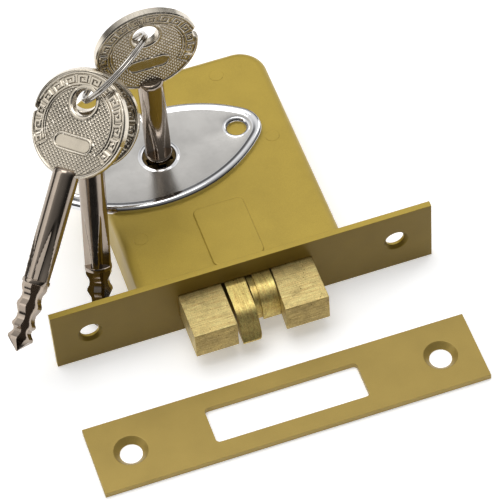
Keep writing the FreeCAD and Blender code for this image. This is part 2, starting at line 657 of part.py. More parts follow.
def circle_through(a, b, c):
    ab = b - a
    ac = c - a
    n = ab.cross(ac)
    mid = a + (n.cross(ab) * ac.dot(ac) + ac.cross(n) * ab.dot(ab)) * (1 / (2 * n.dot(n)))
    n.normalize()
    return mid, n, (mid - a).Length


ring_mid, ring_normal, ring_rad = circle_through(hole_point("lock_key", 0.0), hole_point("front_key", 0.6),
                                                 hole_point("rear_key", 0.6))
turns = [Part.makeTorus(ring_rad, 0.50, ring_mid + ring_normal * s * 0.42, ring_normal) for s in (-1, 1)]
ring = turns[0].fuse(turns[1]).removeSplitter()
node(feature(ring, "split_ring"), "split_ring")

# --------------------------------------------------------------------------------------------------
# Check and export
# --------------------------------------------------------------------------------------------------
doc.recompute()
for obj in doc.Objects:
    if "Invalid" in obj.State or "Error" in obj.State:
        raise RuntimeError("bad state: %s %s" % (obj.Label, obj.State))
os.makedirs("parts", exist_ok=True)
for label, obj in sorted(nodes.items()):
    shape = obj.Shape
    if shape.isNull() or not shape.isValid() or not shape.Solids:
        raise RuntimeError("bad shape: " + label)
    shape.exportStep("parts/%s.step" % label)
    b = shape.BoundBox
    print("%-22s solids %2d  vol %9.1f  x %7.2f %7.2f  y %7.2f %7.2f  z %7.2f %7.2f" % (
        label, len(shape.Solids), shape.Volume, b.XMin, b.XMax, b.YMin, b.YMax, b.ZMin, b.ZMax))
print("ring", ring_mid, ring_normal, ring_rad)
print(len(nodes), "nodes")
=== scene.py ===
import math

import bmesh
import bpy
from mathutils import Matrix, Vector


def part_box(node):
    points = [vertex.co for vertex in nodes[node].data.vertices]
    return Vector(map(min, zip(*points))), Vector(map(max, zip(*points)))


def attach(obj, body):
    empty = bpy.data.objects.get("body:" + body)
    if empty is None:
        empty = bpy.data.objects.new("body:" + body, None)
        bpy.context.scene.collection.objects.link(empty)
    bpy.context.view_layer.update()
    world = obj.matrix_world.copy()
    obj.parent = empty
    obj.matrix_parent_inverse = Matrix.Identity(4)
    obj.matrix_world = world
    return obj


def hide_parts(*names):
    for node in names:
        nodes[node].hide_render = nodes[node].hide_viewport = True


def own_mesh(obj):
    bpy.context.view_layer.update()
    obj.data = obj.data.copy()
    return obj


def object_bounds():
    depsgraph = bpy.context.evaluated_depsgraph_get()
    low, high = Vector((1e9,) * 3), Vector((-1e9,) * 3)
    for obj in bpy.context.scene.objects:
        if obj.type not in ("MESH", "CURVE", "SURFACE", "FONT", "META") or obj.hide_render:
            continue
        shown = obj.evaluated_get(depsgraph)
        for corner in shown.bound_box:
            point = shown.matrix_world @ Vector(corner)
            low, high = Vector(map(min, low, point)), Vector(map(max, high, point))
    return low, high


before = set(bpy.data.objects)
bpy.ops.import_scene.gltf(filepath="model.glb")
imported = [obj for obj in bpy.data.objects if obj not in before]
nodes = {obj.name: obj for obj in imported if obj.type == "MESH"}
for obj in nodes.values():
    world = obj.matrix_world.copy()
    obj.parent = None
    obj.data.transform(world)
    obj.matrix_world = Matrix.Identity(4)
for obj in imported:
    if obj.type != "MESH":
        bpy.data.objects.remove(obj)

MM = 0.001
cad_low, cad_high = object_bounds()
scene = bpy.context.scene


# ---------------------------------------------------------------------------------------------------
# Materials
# ---------------------------------------------------------------------------------------------------
def rgb(r, g, b):
    return (r, g, b, 1.0)


def scaled(base, factor):
    """A colour made darker or lighter, kept within 1."""
    return rgb(*(min(1.0, c * factor) for c in base))


WHITE = rgb(1.0, 1.0, 1.0)


class Shade:
    """A small helper round one node material, in object coordinates."""

    def __init__(self, name):
        self.mat = bpy.data.materials.new(name)
        self.mat.use_nodes = True
        self.nt = self.mat.node_tree
        self.bsdf = self.nt.nodes["Principled BSDF"]
        coord = self.nt.nodes.new("ShaderNodeTexCoord")
        self.where = coord.outputs["Object"]

    def set(self, **values):
        for key, value in values.items():
            self.bsdf.inputs[key.replace("_", " ")].default_value = value
        return self

    def link(self, a, b):
        self.nt.links.new(a, b)

    def stretched(self, scale):
        node = self.nt.nodes.new("ShaderNodeMapping")
        node.inputs["Scale"].default_value = scale
        self.link(self.where, node.inputs["Vector"])
        return node.outputs["Vector"]

    def noise(self, scale, detail=4.0, rough=0.55, vector=None):
        node = self.nt.nodes.new("ShaderNodeTexNoise")
        node.inputs["Scale"].default_value = scale
        node.inputs["Detail"].default_value = detail
        node.inputs["Roughness"].default_value = rough
        self.link(vector or self.where, node.inputs["Vector"])
        return node.outputs["Fac"]

    def cells(self, scale):
        node = self.nt.nodes.new("ShaderNodeTexVoronoi")
        node.inputs["Scale"].default_value = scale
        self.link(self.where, node.inputs["Vector"])
        return node.outputs["Distance"]

    def ramp(self, fac, stops):
        node = self.nt.nodes.new("ShaderNodeValToRGB")
        marks = node.color_ramp.elements
        marks[0].position, marks[0].color = stops[0]
        marks[1].position, marks[1].color = stops[-1]
        for place, colour in stops[1:-1]:
            marks.new(place).color = colour
        self.link(fac, node.inputs["Fac"])
        return node.outputs["Color"]

    def span(self, fac, low, high, from_low=0.0, from_high=1.0):
        """A value moved from one range to another."""
        node = self.nt.nodes.new("ShaderNodeMapRange")
        node.inputs["From Min"].default_value = from_low
        node.inputs["From Max"].default_value = from_high
        node.inputs["To Min"].default_value = low
        node.inputs["To Max"].default_value = high
        self.link(fac, node.inputs["Value"])
        return node.outputs["Result"]

    def mix(self, fac, a, b, blend="MIX"):
        node = self.nt.nodes.new("ShaderNodeMix")
        node.data_type = "RGBA"
        node.blend_type = blend
        for socket, value in ((node.inputs[0], fac), (node.inputs[6], a), (node.inputs[7], b)):
            if isinstance(value, (int, float, tuple)):
                socket.default_value = value
            else:
                self.link(value, socket)
        return node.outputs[2]

    def bumps(self, parts):
        """Chain of bumps: (height socket, strength, distance in metres)."""
        last = None
        for height, strength, distance in parts:
            node = self.nt.nodes.new("ShaderNodeBump")
            node.inputs["Strength"].default_value = strength
            node.inputs["Distance"].default_value = distance
            self.link(height, node.inputs["Height"])
            if last is not None:
                self.link(last, node.inputs["Normal"])
            last = node.outputs["Normal"]
        self.link(last, self.bsdf.inputs["Normal"])
        return self

    def hollow(self):
        """0 in hollows, 0.5 on flats, 1 on ridges."""
        node = self.nt.nodes.new("ShaderNodeNewGeometry")
        return self.span(node.outputs["Pointiness"], 0.0, 1.0, 0.42, 0.58)


def lacquer(name, base, metal=0.30, rough=0.40):
    """Gold-olive metallic lacquer on sheet steel, with faint mottling and orange peel."""
    s = Shade(name).set(Metallic=metal, Coat_Weight=0.06, Coat_Roughness=0.25, Specular_IOR_Level=0.3)
    tone = s.ramp(s.noise(95, 5), [(0.3, scaled(base, 0.94)), (0.52, rgb(*base)), (0.75, scaled(base, 1.05))])
    fleck = s.span(s.noise(5200, 1), 0.93, 1.06, 0.3, 0.7)
    grain = s.mix(1.0, tone, fleck, "MULTIPLY")
    s.link(grain, s.bsdf.inputs["Base Color"])
    s.link(s.span(s.noise(210, 4), rough - 0.05, rough + 0.08), s.bsdf.inputs["Roughness"])
    return s.bumps([(s.noise(1300, 2), 0.10, 0.00012), (s.noise(160, 3), 0.05, 0.0004)]).mat


def raw_brass(name, base, rough, along=(60, 900, 900), pits=True, brush=0.25):
    """Cast and sawn brass: brushed streaks, grain, tarnish clouds and small casting pits."""
    s = Shade(name).set(Metallic=1.0)
    cloud = s.ramp(s.noise(240, 6, 0.7), [(0.3, scaled(base, 0.66)), (0.5, rgb(*base)),
                                          (0.72, scaled(base, 1.14))])
    streak = s.noise(1.0, 4, 0.65, s.stretched(along))
    lined = s.mix(0.65, cloud, s.ramp(streak, [(0.33, rgb(0.3, 0.28, 0.24)), (0.66, rgb(0.72, 0.72, 0.72))]),
                  "OVERLAY")
    speckle = s.ramp(s.noise(2600, 3, 0.7), [(0.3, rgb(0.66, 0.64, 0.6)), (0.62, rgb(1.08, 1.08, 1.08))])
    tone = s.mix(1.0, lined, speckle, "MULTIPLY")
    if pits:
        spots = s.ramp(s.cells(780), [(0.0, rgb(0.2, 0.14, 0.06)), (0.13, rgb(0.4, 0.34, 0.24)),
                                      (0.2, WHITE), (1.0, WHITE)])
        gate = s.ramp(s.noise(520, 2), [(0.5, rgb(0, 0, 0)), (0.57, WHITE)])
        tone = s.mix(1.0, tone, s.mix(gate, WHITE, spots), "MULTIPLY")
    s.link(tone, s.bsdf.inputs["Base Color"])
    s.link(s.span(s.noise(900, 5), rough - 0.08, rough + 0.14), s.bsdf.inputs["Roughness"])
    return s.bumps([(streak, brush, 0.00014), (s.noise(2400, 4, 0.7), 0.35, 0.00008),
                    (s.noise(420, 4), 0.2, 0.0003)]).mat


def plated(name, base, rough, spread=0.05, bump=0.05, scratch=(40, 1600, 1600), smudge=0.9, hollow_shade_and_ridge_glint=False):
    """Bright plating with faint polishing lines and handling smudges; optionally painted shade in the hollows
    and a painted highlight on the ridges.
    """
    s = Shade(name).set(Metallic=1.0)
    tone = s.ramp(s.noise(170, 5, 0.6), [(0.32, scaled(base, smudge)), (0.62, rgb(*base))])
    lines = s.noise(1.0, 3, 0.6, s.stretched(scratch))
    if hollow_shade_and_ridge_glint:
        # painted shade darkens the hollows and a painted highlight brightens the ridges, from pointiness
        hollow_shade_ridge_highlight = s.ramp(s.hollow(), [(0.0, rgb(0.22, 0.19, 0.15)), (0.5, rgb(0.72, 0.70, 0.66)),
                                   (1.0, rgb(1.5, 1.5, 1.5))])
        tone = s.mix(1.0, tone, hollow_shade_ridge_highlight, "MULTIPLY")
    s.link(tone, s.bsdf.inputs["Base Color"])
    s.link(s.span(s.noise(300, 5), max(0.03, rough - spread), rough + spread), s.bsdf.inputs["Roughness"])
    return s.bumps([(lines, bump, 0.00006), (s.noise(110, 2), 0.03, 0.0006)]).mat


CASE = lacquer("case_lacquer", (0.476, 0.340, 0.056))
# darker copy of the case lacquer for the faceplate's front faces: painted shade
SHADED_FACE = lacquer("faceplate_front_painted_shade", (0.180, 0.118, 0.013), metal=0.45, rough=0.38)
STRIKE = lacquer("strike_finish", (0.375, 0.268, 0.070), metal=0.5, rough=0.42)
HEAD = raw_brass("head_cast_brass", (0.66, 0.53, 0.235), 0.46, along=(150, 3200, 3200), brush=0.35)
# darker copy of the head brass for the sawn front faces: painted shade
SHADED_SAWN = raw_brass("head_sawn_front_painted_shade", (0.47, 0.37, 0.155), 0.44, along=(150, 3200, 3200), brush=0.4)
TONGUE = raw_brass("tongue_brass", (0.62, 0.49, 0.18), 0.42, along=(1800, 140, 700), brush=0.2)
SATIN = plated("escutcheon_satin", (0.56, 0.545, 0.52), 0.22, 0.03, 0.10, (900, 900, 900))
MIRROR = plated("escutcheon_mirror", (0.78, 0.78, 0.79), 0.07, 0.02, 0.02)
# key bow nickel, with painted shade in its hollows and a painted highlight on its ridges
NICKEL = plated("key_nickel", (0.60, 0.55, 0.47), 0.20, 0.05, 0.08, (1200, 1200, 1200), 0.82, True)
# darker, browner copy of the key nickel for the shank: painted dark reflection
DARKENED_SHANK = plated("shank_nickel_painted_dark_reflection", (0.36, 0.30, 0.245), 0.12, 0.04, 0.10, (30, 2200, 2200), 0.88)
WIRE = plated("ring_nickel", (0.50, 0.47, 0.43), 0.14, 0.04, 0.04)
ZINC = plated("zinc_steel", (0.56, 0.56, 0.55), 0.30, 0.08, 0.12, (300, 300, 300), 0.75)
SPRING = plated("spring_wire", (0.34, 0.34, 0.36), 0.28, 0.06, 0.08)
# near-black brass for the cylinder plug down in the keyhole: painted shade
PLUG_SHADE = raw_brass("plug_painted_shade_brass", (0.16, 0.115, 0.05), 0.45, along=(900, 900, 60), pits=False, brush=0.2)
BRASS = raw_brass("turned_brass", (0.66, 0.50, 0.20), 0.25, along=(900, 900, 60), pits=False, brush=0.2)


# ---------------------------------------------------------------------------------------------------
# Mesh helpers
# ---------------------------------------------------------------------------------------------------
def circle(count):
    """(cos, sin) of evenly spaced angles."""
    angles = (2 * math.pi * i / count for i in range(count))
    return [(math.cos(t), math.sin(t)) for t in angles]


def grid_faces(bm, rows, material=0):
    """Quads between closed rows of vertices with the same count."""
    for a, b in zip(rows, rows[1:]):
        for i in range(len(a)):
            j = (i + 1) % len(a)
            bm.faces.new((a[i], a[j], b[j], b[i])).material_index = material


def finished_mesh(bm, name, materials, angle, place=Matrix.Scale(MM, 4)):
    """A mesh in metres from one drawn in millimetres, smooth over edges up to an angle in degrees."""
    bmesh.ops.recalc_face_normals(bm, faces=bm.faces)
    bmesh.ops.transform(bm, matrix=place, verts=bm.verts)
    mesh = bpy.data.meshes.new(name)
    bm.to_mesh(mesh)
    bm.free()
    for mat in materials:
        mesh.materials.append(mat)
    for poly in mesh.polygons:
        poly.use_smooth = True
    mesh.set_sharp_from_angle(angle=math.radians(angle))
    return mesh


def new_object(name, mesh, body, node, place=Matrix()):
    """Put a mesh in the scene as the visible piece for one CAD node."""
    obj = bpy.data.objects.new(name, mesh)
    scene.collection.objects.link(obj)
    obj.matrix_world = place
    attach(obj, body)
    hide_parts(node)
    return obj


WELD = 1.5e-6        # metres: tessellation points closer than this are one
COPLANAR = 0.4       # degrees: triangles flatter than this to each other are one face


def refined(node, mat, body, width, segments=3, angle=28):
    """A copy of a CAD node's solid with its edges broken by a small round, and clean shading."""
    bm = bmesh.new()
    bm.from_mesh(nodes[node].data)
    bmesh.ops.remove_doubles(bm, verts=bm.verts, dist=WELD)
    bmesh.ops.dissolve_limit(bm, angle_limit=math.radians(COPLANAR), verts=bm.verts, edges=bm.edges)
    mesh = bpy.data.meshes.new(node + "_skin")
    bm.to_mesh(mesh)
    bm.free()
    mesh.materials.append(mat)
    for poly in mesh.polygons:
        poly.use_smooth = True
        poly.material_index = 0
    obj = new_object(node + "_skin", mesh, body, node)
    edges = obj.modifiers.new("edge_break", "BEVEL")
    edges.width = width * MM
    edges.segments = segments
    edges.limit_method = "ANGLE"
    edges.angle_limit = math.radians(angle)
    edges.use_clamp_overlap = True
    flats = obj.modifiers.new("flat_faces", "WEIGHTED_NORMAL")
    flats.mode = "FACE_AREA"
    flats.weight = 100
    flats.keep_sharp = False
    return obj


def second_material(obj, mat, applies):
    """Give another material to the faces whose normal passes a test."""
    obj.data.materials.append(mat)
    for poly in obj.data.polygons:
        poly.material_index = 1 if applies(poly.normal) else 0


# ---------------------------------------------------------------------------------------------------
# Lock body
# ---------------------------------------------------------------------------------------------------
refined("case_shell", CASE, "case", 0.12, 2, 40)
faceplate = refined("faceplate", SHADED_FACE, "case", 0.16)
# the faceplate's front faces keep the darker painted-shade lacquer, the rest takes the case lacquer
second_material(faceplate, CASE, lambda normal: abs(normal.y) <= 0.5)
refined("strike_plate", STRIKE, "strike", 0.16)
for side in ("left", "right"):
    head = refined("bolt_head_" + side, HEAD, "bolt", 0.22)
    # front faces take the darker painted-shade copy of the head brass
    second_material(head, SHADED_SAWN, lambda normal: normal.y < -0.5)
refined("latch_tongue", TONGUE, "latch", 0.35, 4)
refined("guard_tongue", TONGUE, "guard", 0.35, 4)

# CAD nodes that stay as they are, by their material
INNER = (
    (CASE, ("case_cover", "case_posts")),
    (ZINC, ("faceplate_rivets", "cylinder_sleeve", "cylinder_bracket", "bracket_screws", "guide_post",
            "leaf_stud", "carriage_guide", "bolt_carriage", "bolt_rivets", "cam_wheel", "drive_pin")),
    (BRASS, ("cylinder_body", "driver_pins", "key_pins")),
    # the plug takes the painted-shade brass
    (PLUG_SHADE, ("cylinder_plug",)),
    (SPRING, ("pin_springs", "detent_leaf", "latch_spring", "guard_spring")),
)
for mat, labels in INNER:
    for label in labels:
        nodes[label].data.materials.clear()
        nodes[label].data.materials.append(mat)


def tongue_spring(node):
    """A copy of the spring's CAD mesh as its own object on the bolt, with the CAD node hidden."""
    obj = new_object(node + "_coil", nodes[node].data.copy(), "bolt", node)
    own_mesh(obj)


tongue_spring("latch_spring")
tongue_spring("guard_spring")


# ---------------------------------------------------------------------------------------------------
# Escutcheon: flat satin field, half-round polished rim, rolled keyhole lip, drawn screw dimples
# ---------------------------------------------------------------------------------------------------
HALF_LENGTH, HALF_WIDTH, TIP_RADIUS = 34.0, 18.7, 8.5
TIP_SHRINK = 0.85        # how much of an inset the tip radius loses
ESCUTCHEON_TURN = math.radians(5.65)
SCREW_AT = 26.0
# (inset from the outline, height) over the rim
RIM = [(0.0, 0.0), (0.0, 0.4), (0.05, 0.8), (0.15, 1.16), (0.32, 1.5), (0.55, 1.8), (0.85, 2.02),
       (1.2, 2.16), (1.55, 2.2), (1.9, 2.15), (2.25, 2.03), (2.55, 1.88), (2.8, 1.75), (3.0, 1.67),
       (3.2, 1.63)]
# (radius, height) from the field into a hole
DIMPLE = [(4.3, 1.63), (4.1, 1.7), (3.85, 1.76), (3.6, 1.7), (3.35, 1.52), (3.1, 1.22), (2.95, 0.95),
          (2.8, 0.7), (2.8, 0.0)]
KEYHOLE = [(6.5, 1.63), (6.25, 1.68), (6.0, 1.76), (5.75, 1.84), (5.5, 1.86), (5.28, 1.8), (5.1, 1.66),
           (5.0, 1.4), (5.0, 0.0)]
HOLE_SIDES = 56
FIELD_MATERIAL, LIP_MATERIAL = 0, 1


def lens_loop(inset, per=40):
    """The pointed oval drawn in by an inset: two long arcs joined by two small tip arcs."""
    a, b, r = HALF_LENGTH - inset, HALF_WIDTH - inset, TIP_RADIUS - inset * TIP_SHRINK
    big = (a * a - 2 * a * r + b * b) / (2 * (b - r))
    y_mid = b - big
    x_tip = a - r
    ang = math.atan2(-y_mid, x_tip)
    pts = []

    def arc(cx, cy, rad, t0, t1, count):
        for i in range(count):
            t = t0 + (t1 - t0) * i / count
            pts.append((cx + rad * math.cos(t), cy + rad * math.sin(t)))

    arc(0, y_mid, big, ang, math.pi - ang, per)
    arc(-x_tip, 0, r, math.pi - ang, math.pi + ang, per // 2)
    arc(0, -y_mid, big, math.pi + ang, 2 * math.pi - ang, per)
    arc(x_tip, 0, r, -ang, ang, per // 2)
    return pts


def make_escutcheon():
    bm = bmesh.new()
    rows = [[bm.verts.new((x, y, z)) for x, y in lens_loop(inset)] for inset, z in RIM]
    grid_faces(bm, rows, LIP_MATERIAL)
    under = [bm.verts.new((x, y, 0.0)) for x, y in lens_loop(RIM[-1][0])]
    grid_faces(bm, [under, rows[0]], LIP_MATERIAL)
    tops, bottoms = [rows[-1]], [under]
    for middle, lip in ((0.0, KEYHOLE), (SCREW_AT, DIMPLE), (-SCREW_AT, DIMPLE)):
        loops = [[bm.verts.new((middle + rad * c, rad * s, z)) for c, s in circle(HOLE_SIDES)]
                 for rad, z in lip]
        grid_faces(bm, loops, LIP_MATERIAL)
        tops.append(loops[0])
        bottoms.append(loops[-1])
    for group in (tops, bottoms):
        edges = []
        for loop in group:
            for i in range(len(loop)):
                pair = (loop[i], loop[(i + 1) % len(loop)])
                edges.append(bm.edges.get(pair) or bm.edges.new(pair))
        made = bmesh.ops.triangle_fill(bm, use_beauty=True, edges=edges)
        for f in made["geom"]:
            if isinstance(f, bmesh.types.BMFace):
                f.material_index = FIELD_MATERIAL
    lo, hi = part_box("escutcheon")
    middle = Vector(((lo.x + hi.x) / 2, (lo.y + hi.y) / 2, lo.z))
    place = Matrix.Translation(middle) @ Matrix.Rotation(ESCUTCHEON_TURN, 4, "Z") @ Matrix.Scale(MM, 4)
    mesh = finished_mesh(bm, "escutcheon_shield", [SATIN, MIRROR], 40, place)
    new_object("escutcheon_shield", mesh, "escutcheon", "escutcheon")


make_escutcheon()


# ---------------------------------------------------------------------------------------------------
# Keys.  Own frame as in the CAD: origin at the bow's middle, +X to the tip, +Y across, +Z the normal.
# ---------------------------------------------------------------------------------------------------
BOW_R = 15.8
HOLE_X, HOLE_R = -6.7, 4.0                # ring hole
FACE_Z, FLOOR_Z = 1.4, 1.08               # raised and sunk levels of a face
RISE = FACE_Z - FLOOR_Z
FIELD_R, RIM_R = 11.0, 14.8               # knurled field inside the band, and the plain rim
BAND_ANGLE = math.radians(128)            # half the fret band's sweep, from the ring hole
FRET_ANGLE = math.radians(124)
FRET_FROM, FRET_WIDTH, FRET_PITCH = 11.5, 3.2, 4.3
FRET_R = 13.1                             # the band's middle, where its pitch is measured
KNURL_PITCH, KNURL_DEPTH = 1.36, 0.7
BADGE_X, BADGE_Y, BADGE_R = 5.6, 4.1, 2.3   # rounded ends of the blank badge
NOTCH_AT, NOTCH_R = Vector((-2.4, -16.6)), 2.5
NOTCH_STEP, NOTCH_STEPS = 0.12, 20        # how finely the outline is drawn back to the notch
BOW_SPOKES, BOW_RINGS = 560, 104
# fret strokes (u0, u1, v0, v1) in sevenths of the pitch and of the band
FRET_STROKES = ((0.5, 6.5, 0.5, 1.5), (0.5, 1.5, 0.5, 6.5), (0.5, 5.5, 5.5, 6.5), (4.5, 5.5, 2.5, 6.5),
                (2.5, 5.5, 2.5, 3.5), (2.5, 3.5, 2.5, 4.6), (5.6, 7.2, 0.5, 1.5), (-0.2, 1.0, 0.5, 1.5))


def tri(t):
    """Triangle wave: 0 at whole numbers, 1 between them."""
    t = t - math.floor(t)
    return 1 - abs(2 * t - 1)


def step(a, b, x):
    """Smooth step: 0 at a, 1 at b."""
    t = min(1.0, max(0.0, (x - a) / (b - a)))
    return t * t * (3 - 2 * t)


def meander(along, across):
    """1 on the raised line of a fret pattern; along in pitches, across 0..1 over the band."""
    u = (along % 1.0) * 7
    v = across * 7
    best = 0.0
    for u0, u1, v0, v1 in FRET_STROKES:
        du = max(u0 - u, 0, u - u1)
        dv = max(v0 - v, 0, v - v1)
        best = max(best, 1 - step(0.0, 0.45, math.hypot(du, dv)))
    return best


def relief(x, y):
    """Height of one face of the bow above its middle plane, in mm."""
    rad = math.hypot(x, y)
    phi = math.atan2(y, -x)          # 0 towards the ring hole
    hole = math.hypot(x - HOLE_X, y)
    in_band = abs(phi) < BAND_ANGLE
    field_edge = FIELD_R if in_band else RIM_R
    knurl = RISE * KNURL_DEPTH * tri((x + y) / KNURL_PITCH) * tri((x - y) / KNURL_PITCH)
    z = FLOOR_Z + knurl * (1 - step(field_edge - 0.5, field_edge - 0.2, rad))
    if in_band:
        z = max(z, FLOOR_Z + RISE * (1 - step(0.12, 0.3, abs(rad - (FIELD_R + 0.15)))))
        across = (rad - FRET_FROM) / FRET_WIDTH
        if 0 < across < 1 and abs(phi) < FRET_ANGLE:
            z = max(z, FLOOR_Z + RISE * 0.9 * meander(phi * FRET_R / FRET_PITCH, across))
    else:
        z = max(z, FLOOR_Z + RISE * (1 - step(0.12, 0.3, abs(abs(phi) - BAND_ANGLE) * rad))
                * step(FIELD_R - 0.1, FIELD_R + 0.2, rad) * (1 - step(RIM_R, RIM_R + 0.2, rad)))
    z = max(z, FLOOR_Z + RISE * step(RIM_R + 0.05, RIM_R + 0.25, rad))
    # blank badge with a raised border
    badge = math.hypot(x - BADGE_X, max(0.0, abs(y) - BADGE_Y))
    if badge < BADGE_R + 0.45:
        z = FLOOR_Z + 0.02 + (RISE + 0.04) * (1 - step(0.22, 0.42, abs(badge - BADGE_R)))
    # lip of the ring hole
    if hole < HOLE_R + 1.5:
        z = max(z if hole > HOLE_R + 1.1 else FLOOR_Z,
                FLOOR_Z + (RISE + 0.06) * (1 - step(HOLE_R + 1.0, HOLE_R + 1.4, hole)))
    z -= 0.3 * step(HOLE_R + 0.45, HOLE_R, hole)
    # rounded outer edge
    z -= 0.42 * step(BOW_R - 0.55, BOW_R, rad) ** 2
    return z


def bow_mesh():
    """Both relief faces in a polar grid round the ring hole, out to the notched outline."""
    bm = bmesh.new()
    top_rows = [[] for _ in range(BOW_RINGS + 1)]
    low_rows = [[] for _ in range(BOW_RINGS + 1)]
    for c, s in circle(BOW_SPOKES):
        b = HOLE_X * c
        reach = -b + math.sqrt(b * b - HOLE_X ** 2 + BOW_R ** 2)
        for _ in range(NOTCH_STEPS):
            if (Vector((HOLE_X + reach * c, reach * s)) - NOTCH_AT).length < NOTCH_R:
                reach -= NOTCH_STEP
        for k in range(BOW_RINGS + 1):
            d = HOLE_R + (reach - HOLE_R) * k / BOW_RINGS
            x, y = HOLE_X + d * c, d * s
            z = relief(x, y)
            top_rows[k].append(bm.verts.new((x, y, z)))
            low_rows[k].append(bm.verts.new((x, y, -z)))
    grid_faces(bm, top_rows)
    grid_faces(bm, low_rows)
    grid_faces(bm, [top_rows[0], low_rows[0]])
    grid_faces(bm, [top_rows[-1], low_rows[-1]])
    return finished_mesh(bm, "bow", [NICKEL], 50)


SHANK_R = 4.0
NECK_AT, COLLAR_AT, TIP_AT = 13.2, 46.6, 68.4   # along X from the bow's middle
SHANK_SIDES, SHANK_ROWS = 144, 90
FLUTES = (27.0, 45.0)           # the flutes deepen between these places
FLUTE_DEPTH = 1.55
# (x, radius) of the rounded neck and of the collar before the blade
NECK = [(NECK_AT, 2.9), (NECK_AT + 0.12, 3.35), (NECK_AT + 0.5, 3.75), (NECK_AT + 1.0, 3.94)]
COLLAR = [(COLLAR_AT, 4.0), (46.7, 4.13), (46.9, 4.17), (47.6, 4.17), (47.85, 4.13), (48.0, 3.95),
          (48.02, 2.6)]
BLADE_AT, BLADE_R, BLADE_HALF = 47.7, 3.75, 1.12
# (x from the blade's start, height against its radius) along one arm: waved cuts
CUTS = [(0.0, 0.0), (1.6, 0.0), (2.4, -0.3), (3.2, -0.8), (4.3, -0.95), (5.4, -0.7), (6.4, -0.1),
        (7.2, 0.0), (8.2, -0.5), (9.4, -1.15), (10.6, -1.2), (11.6, -0.9), (12.6, -0.2),
        (13.2, -0.3), (14.0, -1.15), (14.8, -1.25), (15.6, -0.7), (16.3, 0.0), (17.1, 0.05)]


def add_shank(bm):
    """Round shank with four milled flutes that run out towards the bow, and its collar."""
    around = circle(SHANK_SIDES)

    def turned(profile):
        return [[bm.verts.new((x, rad * c, rad * s)) for c, s in around] for x, rad in profile]

    rows = turned(NECK)
    start = NECK_AT + 1.5
    for k in range(SHANK_ROWS + 1):
        x = start + (COLLAR_AT - start) * k / SHANK_ROWS
        deep = FLUTE_DEPTH * step(*FLUTES, x)
        wide = 8 + 23 * step(*FLUTES, x)
        row = []
        for i, (c, s) in enumerate(around):
            off = 360 * i / SHANK_SIDES % 90 - 45
            rad = SHANK_R - deep * max(0.0, 1 - (off / wide) ** 2)
            row.append(bm.verts.new((x, rad * c, rad * s)))
        rows.append(row)
    rows += turned(COLLAR)
    grid_faces(bm, rows)
    bm.faces.new(rows[0])
    bm.faces.new(rows[-1])


def add_arms(bm, angle):
    """Two opposite arms of the cross-shaped blade, thinner towards the arrow point."""
    spin = Matrix.Rotation(angle, 4, "X")
    outline = [(BLADE_AT + x, BLADE_R + d) for x, d in CUTS] + [(TIP_AT - 0.5, 0.55), (TIP_AT, 0.2)]
    loop = outline + [(x, -y) for x, y in reversed(outline)]
    sides = []
    for half in (BLADE_HALF, -BLADE_HALF):
        side = []
        for x, y in loop:
            thin = min(1.0, max(0.15, (TIP_AT + 0.6 - x) / 4.4))
            side.append(bm.verts.new(spin @ Vector((x, y, half * thin))))
        sides.append(side)
    total = len(loop)
    for side in sides:
        for i in range(len(outline) - 1):
            bm.faces.new((side[i], side[i + 1], side[total - 2 - i], side[total - 1 - i]))
    grid_faces(bm, sides)


def shank_mesh():
    bm = bmesh.new()
    add_shank(bm)
    add_arms(bm, 0)
    add_arms(bm, math.radians(90))
    return finished_mesh(bm, "shank", [DARKENED_SHANK], 32)


# middle of the bow, direction to the tip, direction across
KEY_PLACES = {
    "lock_key": ((-11.0, 48.0, 61.6), (0, 0, -1), (-1, 0, 0)),
    "front_key": ((-36.736, 31.604, 56.063), (-0.5206, -0.59, -0.6172), (0.6534, -0.7406, 0.1569)),
    "rear_key": ((-32.982, 39.712, 48.263), (-0.1514, -0.4664, -0.8715), (0.9069, -0.4163, 0.0652)),
}


def place_of(name):
    """The matrix that puts a key's own frame where the CAD has it."""
    mid, along, across = (Vector(v) for v in KEY_PLACES[name])
    x = along.normalized()
    y = (across - x * across.dot(x)).normalized()
    z = x.cross(y)
    m = Matrix((x, y, z)).transposed().to_4x4()
    m.translation = mid * MM
    return m


bow_data = bow_mesh()
shank_data = shank_mesh()
for key in KEY_PLACES:
    new_object(key + "_bow_relief", bow_data, key, key + "_bow", place_of(key))
    new_object(key + "_shank_cut", shank_data, key, key + "_shaft", place_of(key))


# ---------------------------------------------------------------------------------------------------
# Split ring: one wire wound in two flat turns, with a short crossing
# ---------------------------------------------------------------------------------------------------
WIRE_R = 0.47
TURN_OFFSET = 0.46         # each turn's distance from the ring's middle plane
RING_ROWS, WIRE_SIDES = 260, 14
HUNG_BY = 0.6              # how far outward in its hole a hanging key meets the ring
WIRE_START = 1.9           # where the wire's end lies, in radians from the lock key's hole
CROSSING = 0.3             # half the angle over which the wire crosses to its other turn


def hole_point(name, out_by):
    """A point in a key's ring hole, a little outward from its middle, in mm."""
    return (place_of(name) @ Vector(((HOLE_X - out_by) * MM, 0, 0))) / MM


